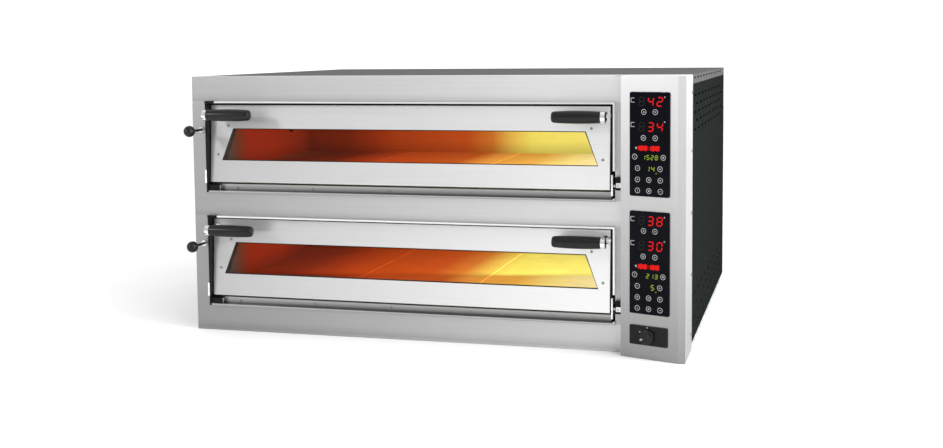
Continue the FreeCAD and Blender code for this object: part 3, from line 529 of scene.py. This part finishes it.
def piece_from(bm, name, surface, body, smooth=False):
    """Turn a bmesh into a piece that rides on a body."""
    mesh = bpy.data.meshes.new(name)
    bmesh.ops.recalc_face_normals(bm, faces=bm.faces)
    bm.to_mesh(mesh)
    bm.free()
    if smooth:
        mesh.shade_smooth()
        mesh.set_sharp_from_angle(angle=math.radians(40))
    piece = bpy.data.objects.new(name, mesh)
    bpy.context.scene.collection.objects.link(piece)
    mesh.materials.append(MATERIALS[surface])
    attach(piece, body)
    return piece


def lathe(bm, profile, matrix, segments=48):
    """Turn (along, radius) pairs about the matrix's z axis; ends at radius 0 are closed."""
    rings = []
    for along, radius in profile:
        if radius < 1e-9:
            rings.append([bm.verts.new(matrix @ Vector((0, 0, along)))])
            continue
        ring = []
        for number in range(segments):
            angle = math.tau * number / segments
            point = Vector((radius * math.cos(angle), radius * math.sin(angle), along))
            ring.append(bm.verts.new(matrix @ point))
        rings.append(ring)
    for first, second in zip(rings, rings[1:]):
        for number in range(segments):
            following = (number + 1) % segments
            corners = [first[number % len(first)], first[following % len(first)],
                       second[following % len(second)], second[number % len(second)]]
            unique = list(dict.fromkeys(corners))
            if len(unique) >= 3:
                bm.faces.new(unique)


def rounded(points, radius, steps=5):
    """A lathe profile with each inner corner replaced by an arc-like curve."""
    result = [points[0]]
    for before, corner, after in zip(points, points[1:], points[2:]):
        a, b, c = Vector(before), Vector(corner), Vector(after)
        reach = min(radius, (a - b).length * 0.49, (c - b).length * 0.49)
        start, end = b + (a - b).normalized() * reach, b + (c - b).normalized() * reach
        for number in range(steps + 1):
            t = number / steps
            result.append(tuple(start * (1 - t) ** 2 + b * 2 * t * (1 - t) + end * t ** 2))
    result.append(points[-1])
    return result


def block(bm, matrix, low, high, bevel=0.0):
    """A box between two corners of the matrix's space, with its edges rounded."""
    corners = [bm.verts.new(matrix @ Vector((x, y, z)))
               for x in (low[0], high[0]) for y in (low[1], high[1]) for z in (low[2], high[2])]
    faces = [bm.faces.new([corners[i] for i in loop]) for loop in
             ((0, 1, 3, 2), (4, 6, 7, 5), (0, 4, 5, 1), (2, 3, 7, 6), (0, 2, 6, 4), (1, 5, 7, 3))]
    if bevel:
        edges = {edge for face in faces for edge in face.edges}
        bmesh.ops.bevel(bm, geom=list(edges), offset=bevel, segments=3, profile=0.5, affect="EDGES")


def rectangle(left, bottom, right, top):
    """The outline of a rectangle, in x and z."""
    return [(left, bottom), (right, bottom), (right, top), (left, top)]


def strip(bm, outer, inner):
    """Faces between two closed loops with as many corners each."""
    loops = [[bm.verts.new(corner) for corner in loop] for loop in (outer, inner)]
    count = len(outer)
    for number in range(count):
        following = (number + 1) % count
        bm.faces.new([loops[0][number], loops[0][following], loops[1][following], loops[1][number]])


def flat(bm, matrix, outline, thick):
    """A thin plate from an outline in the matrix's x and z, standing thick out of its -y side."""
    back_ring = [bm.verts.new(matrix @ Vector((x, 0, z))) for x, z in outline]
    front_ring = [bm.verts.new(matrix @ Vector((x, -thick, z))) for x, z in outline]
    bm.faces.new(front_ring)
    count = len(outline)
    for number in range(count):
        following = (number + 1) % count
        bm.faces.new([back_ring[number], back_ring[following], front_ring[following], front_ring[number]])


def annulus(bm, matrix, x, z, outer, inner, thick, segments=28):
    """A flat ring about a point of the matrix's x and z."""
    turns = [math.tau * number / segments for number in range(segments)]
    loops = [[matrix @ Vector((x + radius * math.cos(turn), -thick, z + radius * math.sin(turn)))
              for turn in turns] for radius in (outer, inner)]
    strip(bm, *loops)


# ---- Display details ----------------------------------------------------------------------

WEDGE_AXIS = Vector(JOINTS["main_switch_turn"]["axis"])
WEDGE_POINT = Vector(JOINTS["main_switch_turn"]["pos_m"])
SWITCH_ALONG = 79.7 * MM
GLASS_PROUD = 3 * MM
DISPLAY_INSET = 27.7 * MM


def wedge_frame(out):
    """Space on the control wedge: x along the face, -y out of it, z up, out metres proud."""
    along = Vector((WEDGE_AXIS.y, -WEDGE_AXIS.x, 0))
    origin = WEDGE_POINT - along * SWITCH_ALONG - WEDGE_AXIS * out
    origin.z = 0
    return Matrix(((along.x, WEDGE_AXIS.x, 0, origin.x), (along.y, WEDGE_AXIS.y, 0, origin.y),
                   (0, 0, 1, 0), (0, 0, 0, 1)))


SEGMENTS = {"0": "abcdef", "1": "bc", "2": "abged", "3": "abgcd", "4": "fgbc", "5": "afgcd",
            "6": "afgedc", "7": "abc", "8": "abcdefg", "9": "abcdfg"}
SLANT = 0.10


def segment_outline(name, wide, tall, thick):
    """One stroke of a seven-segment digit as a pointed bar, about the digit's centre."""
    half_x, half_z, half = wide / 2, tall / 2, thick / 2
    if name in "adg":
        z = {"a": half_z, "g": 0, "d": -half_z}[name]
        ends = (-half_x + half * 0.4, half_x - half * 0.4)
        outline = [(ends[0], z), (ends[0] + half, z + half), (ends[1] - half, z + half),
                   (ends[1], z), (ends[1] - half, z - half), (ends[0] + half, z - half)]
    else:
        x = half_x if name in "bc" else -half_x
        low, high = (0, half_z) if name in "bf" else (-half_z, 0)
        low, high = low + half * 0.4, high - half * 0.4
        outline = [(x, low), (x + half, low + half), (x + half, high - half),
                   (x, high), (x - half, high - half), (x - half, low + half)]
    return [(px + pz * SLANT, pz) for px, pz in outline]


def draw_digit(bm, matrix, text, x, z, wide, tall, thick):
    for name in SEGMENTS[text]:
        outline = [(x + px, z + pz) for px, pz in segment_outline(name, wide, tall, thick)]
        flat(bm, matrix, outline, STROKE_THICK)


def draw_number(bm, matrix, text, right, z, wide, tall, thick, pitch):
    """Digits set from the right."""
    x = right - wide / 2
    for letter in reversed(text):
        draw_digit(bm, matrix, letter, x, z, wide, tall, thick)
        x -= pitch


# Keys as (along, below the top) in millimetres from the glass's upper left corner.
KEYS = ((41, 52), (74, 52), (40, 120), (74, 120), (15, 170), (97, 170), (23, 200), (88, 200),
        (23, 230), (56, 230), (89, 230), (23, 259), (56, 259), (89, 259))
KEY_OUTER, KEY_INNER, SYMBOL_SIZE = 7.4 * MM, 5.9 * MM, 2.6 * MM
READINGS = {"upper": ("42", "34", "1528", "14"), "lower": ("38", "30", "213", "5")}

# Generic marks for the keys, each one or two outlines within a square of side 2.
SYMBOLS = (
    [[(-1, -0.6), (1, -0.6), (0, 1)]],
    [[(-1, 0.6), (0, -1), (1, 0.6)]],
    [rectangle(-0.9, -0.9, -0.3, 0.9), rectangle(0.3, -0.9, 0.9, 0.9)],
    [[(-0.7, -1), (1, 0), (-0.7, 1)]],
    [rectangle(-0.25, -1, 0.25, 1)],
    [rectangle(-0.8, -0.8, 0.8, 0.8)],
    [rectangle(-1, -0.25, 1, 0.25)],
)

# Thickness of the lit strokes, of the backing behind the run-together figures, and of the print.
STROKE_THICK, BACKING_THICK, PRINT_THICK = 0.3 * MM, 0.2 * MM, 0.25 * MM

# Digit sizes, and each row's right end and distance below the top of the glass.
BIG = dict(wide=14 * MM, tall=22 * MM, thick=3.4 * MM, pitch=26 * MM)
SMALL = dict(wide=7 * MM, tall=11 * MM, thick=2.0 * MM, pitch=12.2 * MM)
MEDIUM = dict(wide=8 * MM, tall=13 * MM, thick=2.3 * MM, pitch=14 * MM)
MERGED = dict(wide=8 * MM, tall=10.5 * MM, thick=4.6 * MM, pitch=12.6 * MM)
BIG_RIGHT, SMALL_RIGHT, MEDIUM_RIGHT = 94 * MM, 81 * MM, 71 * MM
BIG_DROPS, BAR_DROP, SMALL_DROP, MEDIUM_DROP = (25 * MM, 91 * MM), 147 * MM, 171 * MM, 201 * MM


def key_symbol(bm, matrix, x, z, kind):
    """A small generic mark inside a key's ring."""
    for outline in SYMBOLS[kind % len(SYMBOLS)]:
        placed = [(x + px * SYMBOL_SIZE, z + pz * SYMBOL_SIZE) for px, pz in outline]
        flat(bm, matrix, placed, PRINT_THICK)


def bar_figures(bm, matrix, z):
    """Bright figures that run together, a pair on each side of a colon."""
    for start in (25 * MM, 60 * MM):
        draw_number(bm, matrix, "88", start + 25 * MM, z, **MERGED)
        backing = [(start - 0.5 * MM, z - 6 * MM), (start + 26 * MM, z - 6 * MM),
                   (start + 27 * MM, z + 6 * MM), (start + 0.5 * MM, z + 6 * MM)]
        flat(bm, matrix, backing, BACKING_THICK)
    for rise in (-2.6 * MM, 2.6 * MM):
        annulus(bm, matrix, 56 * MM, z + rise, 1.3 * MM, 0.2 * MM, STROKE_THICK, 12)


def bracket_mark(bm, matrix, z):
    """An open square bracket at the left of a reading and a degree ring at its right."""
    left, bottom, stroke = 3 * MM, z - 6 * MM, 1.6 * MM
    flat(bm, matrix, rectangle(left, bottom, left + stroke, z + 6.6 * MM), PRINT_THICK)
    for foot in (bottom, z + 5 * MM):
        flat(bm, matrix, rectangle(left, foot, left + 11 * MM, foot + stroke), PRINT_THICK)
    annulus(bm, matrix, 101 * MM, z + 9 * MM, 2.0 * MM, 0.9 * MM, PRINT_THICK, 14)


def display_details(deck):
    """Digits, unlit digits, key rings and bracket marks on one glass."""
    top = corners_of(f"{deck}_display_glass")[1].z
    matrix = wedge_frame(GLASS_PROUD) @ Matrix.Translation((DISPLAY_INSET, 0, 0))
    first, second, third, fourth = READINGS[deck]
    red, green, dark, white = (bmesh.new() for _ in range(4))
    for reading, drop in zip((first, second), BIG_DROPS):
        draw_number(red, matrix, reading, BIG_RIGHT, top - drop, **BIG)
        draw_number(dark, matrix, "8", BIG_RIGHT - 2 * BIG["pitch"], top - drop, **BIG)
    bar_figures(red, matrix, top - BAR_DROP)
    draw_number(green, matrix, third, SMALL_RIGHT, top - SMALL_DROP, **SMALL)
    draw_number(green, matrix, fourth, MEDIUM_RIGHT, top - MEDIUM_DROP, **MEDIUM)
    annulus(green, matrix, 77 * MM, top - 212 * MM, 1.6 * MM, 0.4 * MM, STROKE_THICK, 12)
    for number, (x, drop) in enumerate(KEYS):
        annulus(white, matrix, x * MM, top - drop * MM, KEY_OUTER, KEY_INNER, PRINT_THICK)
        key_symbol(white, matrix, x * MM, top - drop * MM, number)
    for drop in (22 * MM, 86 * MM):
        bracket_mark(white, matrix, top - drop)
    annulus(white, matrix, 19 * MM, top - BAR_DROP, 3.0 * MM, 1.2 * MM, PRINT_THICK, 16)
    for bm, word in ((red, "red"), (green, "green"), (dark, "unlit"), (white, "print")):
        piece_from(bm, f"{deck}_display_{word}", word, "oven")


# ---- Handles, knobs and switch ------------------------------------------------------------

GRIP_LENGTH = 133 * MM
GRIP_END_RADIUS = 15.5 * MM
GRIP_NOSE = 8 * MM
NOSE_STEPS, BARREL_STEPS = 8, 16


def grip_profile(radius):
    """A grip from its free end: a rounded nose, then a barrel that swells to the radius."""
    profile = [(0, 0)]
    for number in range(NOSE_STEPS + 1):
        angle = math.pi / 2 * number / NOSE_STEPS
        along = GRIP_NOSE * (1 - math.cos(angle))
        tuck = 0.98 if number < NOSE_STEPS else 1
        profile.append((along, GRIP_END_RADIUS * (0.72 + 0.28 * math.sin(angle)) * tuck))
    for number in range(1, BARREL_STEPS + 1):
        share = number / BARREL_STEPS
        swell = (radius - GRIP_END_RADIUS) * math.sin(math.pi * share) ** 0.8
        profile.append((GRIP_NOSE + (GRIP_LENGTH - GRIP_NOSE) * share, GRIP_END_RADIUS + swell))
    profile.append((GRIP_LENGTH, 0))
    return profile


def door_grips(deck):
    """Satin barrel grips, thickest in the middle, with a rounded free end."""
    low, high = corners_of(f"{deck}_door_grips")
    centre = (low + high) / 2
    profile = [(GRIP_LENGTH - along, r) for along, r in grip_profile((high.z - low.z) / 2)]
    for word, start, side in (("left", low.x, -1), ("right", high.x, 1)):
        turn = Matrix.Rotation(math.radians(-90 * side), 4, "Y")
        bm = bmesh.new()
        lathe(bm, profile, Matrix.Translation((start, centre.y, centre.z)) @ turn, 56)
        piece = piece_from(bm, f"{deck}_grip_{word}", "black_plastic", f"{deck}_door",
                           smooth=True)
        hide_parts(f"{deck}_door_grips")


COLLAR_RADIUS = 8 * MM
BALL_STEPS, BALL_STEPS_TO_COLLAR = 24, 21


def damper_knob(deck):
    """Ball knob with a stepped collar."""
    low, high = corners_of(f"{deck}_damper_knob")
    radius = (high.z - low.z) / 2
    centre = Vector(((low.x + high.x) / 2, low.y + radius, (low.z + high.z) / 2))
    profile = [(-radius, 0)]
    for number in range(1, BALL_STEPS_TO_COLLAR + 1):
        angle = math.pi * number / BALL_STEPS
        profile.append((-radius * math.cos(angle), radius * math.sin(angle)))
    tail = high.y - centre.y
    profile += rounded([(radius * 0.90, COLLAR_RADIUS), (tail * 0.92, COLLAR_RADIUS),
                        (tail, COLLAR_RADIUS - 1.5 * MM), (tail, 0)], 1 * MM)
    matrix = Matrix.Translation(centre) @ Matrix.Rotation(math.radians(-90), 4, "X")
    bm = bmesh.new()
    lathe(bm, profile, matrix, 48)
    piece = piece_from(bm, f"{deck}_damper_ball", "black_plastic", f"{deck}_damper",
                       smooth=True)
    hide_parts(f"{deck}_damper_knob")


DISC_RADIUS, DISC_TALL = 20 * MM, 5 * MM
BAR_HALF_WIDE, BAR_HALF_LONG, BAR_OUT = 4.5 * MM, 17 * MM, 16.5 * MM
BAR_TILT = math.radians(62)
MARK_RADIUS, MARK_HALF = 24.5 * MM, 1.7 * MM


def main_switch():
    """Dished disc with a rounded grip bar and a white pointer, and marks on the plate."""
    matrix = wedge_frame(0) @ Matrix.Translation((SWITCH_ALONG, 0, WEDGE_POINT.z))
    outward = Matrix.Rotation(math.radians(90), 4, "X")
    base = GLASS_PROUD + 0.6 * MM
    bm = bmesh.new()
    disc = [(base, 0), (base, DISC_RADIUS), (base + DISC_TALL, DISC_RADIUS),
            (base + 7 * MM, 17 * MM), (base + 6 * MM, 0)]
    lathe(bm, rounded(disc, 1.2 * MM), matrix @ outward, 64)
    tilt = Matrix.Rotation(BAR_TILT, 4, "Y")
    block(bm, matrix @ tilt, (-BAR_HALF_WIDE, -base - BAR_OUT, -BAR_HALF_LONG),
          (BAR_HALF_WIDE, -base - DISC_TALL, BAR_HALF_LONG), 2 * MM)
    knob = piece_from(bm, "switch_knob", "black_plastic", "main_switch", smooth=True)
    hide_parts("main_switch_knob")
    pointer = bmesh.new()
    tip = matrix @ tilt @ Matrix.Translation((0, 0.1 * MM - base - BAR_OUT, 0))
    flat(pointer, tip, rectangle(-2 * MM, -15 * MM, 2 * MM, -7 * MM), 0.3 * MM)
    piece_from(pointer, "switch_pointer", "print", "main_switch")
    marks = bmesh.new()
    for angle in (math.radians(90), math.radians(152)):
        x = SWITCH_ALONG + MARK_RADIUS * math.cos(angle)
        z = WEDGE_POINT.z + MARK_RADIUS * math.sin(angle)
        square = rectangle(x - MARK_HALF, z - MARK_HALF, x + MARK_HALF, z + MARK_HALF)
        flat(marks, wedge_frame(GLASS_PROUD), square, 0.2 * MM)
    piece_from(marks, "switch_marks", "print", "oven")


# A screw head from its rim to the bottom of its recess, as (outward, radius).
SCREW_PROFILE = [(-1 * MM, 4 * MM), (0.2 * MM, 3.9 * MM), (0.9 * MM, 2.4 * MM), (1 * MM, 1.3 * MM),
                 (0.3 * MM, 1.0 * MM), (0.3 * MM, 0)]


def screw_heads():
    """Domed screw heads with a round recess over the CAD's plain ones."""
    for deck in DECKS:
        bm = bmesh.new()
        for centre in islands(frame["nodes"][f"{deck}_door_screws"]):
            matrix = Matrix.Translation(centre) @ Matrix.Rotation(math.radians(90), 4, "X")
            lathe(bm, rounded(SCREW_PROFILE, 0.4 * MM, 3), matrix, 24)
        piece = piece_from(bm, f"{deck}_screw_heads", "screw", f"{deck}_door",
                           smooth=True)
        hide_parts(f"{deck}_door_screws")


# ---- Door surroundings --------------------------------------------------------------------

# The door skin leans back by this much from its foot to its top.
DOOR_LEAN = 15 * MM

# Half widths and heights above the door's foot of the window's lower and upper edges.
WINDOW_LOW, WINDOW_HIGH = 63.5 * MM, 157.5 * MM
WINDOW_LOW_HALF, WINDOW_HIGH_HALF = 557.5 * MM, 522.5 * MM
WINDOW_TRIM = 2.4 * MM
EDGE_SHADE_WIDE = 4.5 * MM


# Blocks beside an opening, as low and high corners in millimetres from a corner of its rim or
# of its door panel.
CORNER_BLOCK = ((-1, -0.5, -6), (30, 6, 1))
HINGE_LEAF = ((-5, -0.5, 27), (1, 12, 66))
HINGE_ARM = ((0.3, -7, -15.5), (5.2, 14, 41.5))


def add_block(name, origin, extent, bevel, surface, body, smooth=False):
    """A rounded box as a piece of its own."""
    low, high = (Vector(corner) * MM for corner in extent)
    bm = bmesh.new()
    block(bm, Matrix.Translation(origin), low, high, bevel)
    piece_from(bm, name, surface, body, smooth)


def hinge_side(deck):
    """Black corner block, hinge leaf left of an opening, arm at its right; painted highlight on leaf and
    arm.
    """
    rim_low, rim_high = corners_of(f"{deck}_door_surround")
    door_low, door_high = corners_of(f"{deck}_door_panel")
    add_block(f"{deck}_corner_block", (rim_low.x, rim_low.y, rim_high.z), CORNER_BLOCK, 0.6 * MM,
              "bracket", "oven")
    add_block(f"{deck}_hinge_leaf", rim_low, HINGE_LEAF, 1.2 * MM,
              "bright", "oven", smooth=True)
    add_block(f"{deck}_hinge_arm", (door_high.x, door_low.y, door_low.z), HINGE_ARM, 0.8 * MM,
              "bright", f"{deck}_door", smooth=True)


def on_skin(low, high, x, z, proud):
    """A point on the leaning door skin, z above the door's foot and proud of the skin."""
    slope = DOOR_LEAN / (high.z - low.z)
    return Vector((x, low.y + slope * z - proud, low.z + z))


def window_trim(deck):
    """Thin dark edge round the window, and painted shade along the door's right end, by its gap."""
    low, high = corners_of(f"{deck}_door_panel")
    middle = (low.x + high.x) / 2
    rings = []
    for inset in (0.0, WINDOW_TRIM):
        bottom, top = WINDOW_LOW + inset, WINDOW_HIGH - inset
        wide, narrow = WINDOW_LOW_HALF - inset, WINDOW_HIGH_HALF - inset
        outline = ((-wide, bottom), (wide, bottom), (narrow, top), (-narrow, top))
        rings.append([on_skin(low, high, middle + x, z, -1 * MM) for x, z in outline])
    trim = bmesh.new()
    strip(trim, *rings)
    piece_from(trim, f"{deck}_window_trim", "bracket", f"{deck}_door")
    # Painted shade: a black strip on the skin along the door's right end, for the gap beside it.
    outline = rectangle(high.x - EDGE_SHADE_WIDE, 0, high.x + 0.2 * MM, high.z - low.z)
    edge = bmesh.new()
    edge.faces.new([edge.verts.new(on_skin(low, high, x, z, 0.3 * MM)) for x, z in outline])
    piece_from(edge, f"{deck}_door_edge_shade", "bracket", f"{deck}_door")


def islands(node):
    """The centre of each separate solid of a node."""
    bm = bmesh.new()
    bm.from_mesh(node.data)
    bmesh.ops.remove_doubles(bm, verts=bm.verts, dist=1e-6)
    left = set(bm.verts)
    centres = []
    while left:
        group, edge = set(), [left.pop()]
        while edge:
            vert = edge.pop()
            group.add(vert)
            for link in vert.link_edges:
                other = link.other_vert(vert)
                if other in left:
                    left.discard(other)
                    edge.append(other)
        low = Vector(tuple(min(v.co[i] for v in group) for i in range(3)))
        high = Vector(tuple(max(v.co[i] for v in group) for i in range(3)))
        centres.append((low + high) / 2)
    bm.free()
    return sorted(centres, key=lambda c: tuple(round(v, 4) for v in c))


# ---- Studio -------------------------------------------------------------------------------

# Lens and sensor width in millimetres.
LENS = 47.8613
SENSOR = 36.0
HORIZON_SHIFT = -0.0785
CAMERA_PLACE = (1.0524, -3.9074, 0.8245)
CAMERA_YAW, CAMERA_PITCH, CAMERA_ROLL = (math.radians(a) for a in (15.52, -4.62, 0.53))


def camera():
    data = bpy.data.cameras.new("camera")
    data.sensor_width = SENSOR
    data.lens = LENS
    data.shift_y = HORIZON_SHIFT
    eye = bpy.data.objects.new("camera", data)
    bpy.context.scene.collection.objects.link(eye)
    turn = (Matrix.Rotation(CAMERA_YAW, 4, "Z") @ Matrix.Rotation(CAMERA_PITCH, 4, "X")
            @ Matrix.Rotation(CAMERA_ROLL, 4, "Y") @ Matrix.Rotation(math.radians(90), 4, "X"))
    eye.matrix_world = Matrix.Translation(CAMERA_PLACE) @ turn
    bpy.context.scene.camera = eye


# Soft boxes as (name, place, target, side of the square, power in watts).
LIGHTS = (
    ("key", (-3.0, -3.2, 1.9), (0.2, -0.5, 0.4), 0.6, 50),
    ("fill", (2.8, -2.8, 3.2), (0, 0, 0.4), 2.2, 40),
    ("side", (3.6, -1.2, 1.3), (0.7, -0.4, 0.4), 2.0, 120),
)
FLOOR_HALF = 14.0
FLOOR_DROP = 0.5 * MM

# The surroundings brighten along a slanted direction, between these two places.
SKY_SLANT, SKY_FROM, SKY_TO = 0.9, -1.25, 0.30
SKY_LOW, SKY_HIGH = 0.62, 1.25


def area_light(name, place, target, side, power):
    data = bpy.data.lights.new(name, "AREA")
    data.shape = "RECTANGLE"
    data.size = side
    data.size_y = side
    data.energy = power
    lamp = bpy.data.objects.new(name, data)
    bpy.context.scene.collection.objects.link(lamp)
    lamp.location = place
    lamp.rotation_euler = (Vector(target) - Vector(place)).to_track_quat("-Z", "Y").to_euler()


def floor():
    """A pale floor just under the oven."""
    bm = bmesh.new()
    corners = ((-1, -1), (1, -1), (1, 1), (-1, 1))
    bm.faces.new([bm.verts.new((x * FLOOR_HALF, y * FLOOR_HALF, -FLOOR_DROP)) for x, y in corners])
    mesh = bpy.data.meshes.new("floor")
    bm.to_mesh(mesh)
    bm.free()
    ground = bpy.data.objects.new("floor", mesh)
    bpy.context.scene.collection.objects.link(ground)
    mesh.materials.append(finish_material("floor_paint", grey(0.93), grey(0.95),
                                          rough=(0.8, 0.9), scale=even(2), spec=0.1))


def surroundings():
    """Bright even surroundings: brighter at the right and behind the oven, softer at the left."""
    world = bpy.data.worlds.new("studio")
    bpy.context.scene.world = world
    world.use_nodes = True
    tree = world.node_tree
    tree.nodes.clear()
    output = tree.nodes.new("ShaderNodeOutputWorld")
    background = tree.nodes.new("ShaderNodeBackground")
    background.inputs["Color"].default_value = (1, 1, 1, 1)
    where = tree.nodes.new("ShaderNodeTexCoord")
    split = tree.nodes.new("ShaderNodeSeparateXYZ")
    tree.links.new(where.outputs["Generated"], split.inputs[0])
    slanted = maths(tree, "MULTIPLY", split.outputs[0], SKY_SLANT)
    along = maths(tree, "ADD", slanted, split.outputs[1])
    strength = ranged(tree, along, SKY_LOW, SKY_HIGH, SKY_FROM, SKY_TO)
    tree.links.new(strength, background.inputs["Strength"])
    tree.links.new(background.outputs[0], output.inputs["Surface"])


def studio():
    floor()
    surroundings()
    for light in LIGHTS:
        area_light(*light)
    bpy.context.scene.view_settings.view_transform = "Standard"


# ---- Putting it together ------------------------------------------------------------------

def build():
    camera()
    studio()
    dress_nodes()
    for deck in DECKS:
        door_grips(deck)
        damper_knob(deck)
        display_details(deck)
        hinge_side(deck)
        window_trim(deck)
    main_switch()
    screw_heads()


build()
